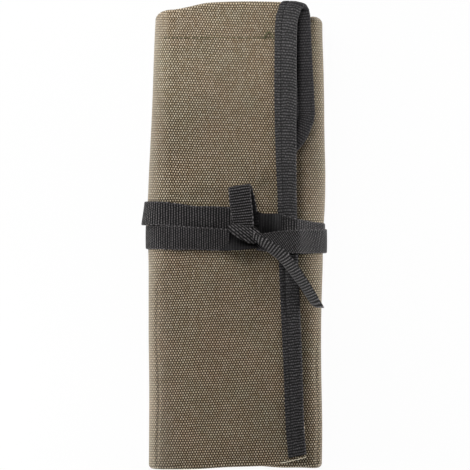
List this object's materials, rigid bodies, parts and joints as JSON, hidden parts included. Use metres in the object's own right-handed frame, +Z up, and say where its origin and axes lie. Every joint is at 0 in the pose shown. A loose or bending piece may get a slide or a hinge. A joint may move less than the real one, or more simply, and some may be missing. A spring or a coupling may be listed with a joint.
{
  "type": "canvas tool roll",
  "caption": "Long canvas tool roll folded in three, with taped edges, inner pockets under flaps, and a black webbing tie in a half bow.",
  "frame": {"origin": "centre of the bounding box, on the floor that the back lies on", "axes": "+Y along the roll towards the top fold, +X across it towards the bound edge, +Z up through the cover"},
  "size_m": [0.1152, 0.3, 0.0462],
  "materials": {
    "canvas": "matt plain-weave cotton canvas, khaki brown with pale slubs",
    "edge_tape": "matt ribbed black tape folded over the edge",
    "tie_webbing": "soft-sheen ribbed black webbing"
  },
  "bodies": {
    "back": {"back_canvas": "canvas", "back_pocket_strip": "canvas", "back_pocket_binding": "edge_tape", "back_flap": "canvas", "back_flap_binding": "edge_tape", "tie_back_outer": "tie_webbing", "tie_back_inner": "tie_webbing"},
    "wing": {"wing_canvas": "canvas", "wing_pocket_strip": "canvas", "wing_pocket_binding": "edge_tape", "wing_flap": "canvas", "wing_flap_binding": "edge_tape", "wing_edge_binding": "edge_tape"},
    "cover": {"cover_canvas": "canvas", "cover_hem": "canvas", "cover_flap": "canvas", "cover_edge_binding": "edge_tape", "cover_flap_binding": "edge_tape", "tie_front_upper": "tie_webbing", "tie_front_left": "tie_webbing", "tie_front_right": "tie_webbing", "knot_core": "tie_webbing", "knot_wrap": "tie_webbing"},
    "loop": {"bow_loop": "tie_webbing"},
    "tail": {"tie_tail": "tie_webbing"}
  },
  "joints": [
    {"name": "cover_open", "type": "hinge", "parent": "back", "child": "cover", "pos_m": [-0.0579, 0, 0.01545], "axis": [0, -1, 0], "range_deg": [0, 168]},
    {"name": "wing_open", "type": "hinge", "parent": "back", "child": "wing", "pos_m": [0.0579, 0, 0.01195], "axis": [0, 1, 0], "range_deg": [0, 168]},
    {"name": "loop_lift", "type": "hinge", "parent": "cover", "child": "loop", "pos_m": [0.0056, 0.01081, 0.0352], "axis": [0.9925, 0.1219, 0], "range_deg": [0, 100]},
    {"name": "tail_lift", "type": "hinge", "parent": "cover", "child": "tail", "pos_m": [0.0163, -0.003, 0.04098], "axis": [-0.7547, -0.6561, 0], "range_deg": [0, 80]}
  ],
  "couplings": [
    {"joint": "wing_open", "follows": "cover_open", "ratio": 1}
  ]
}
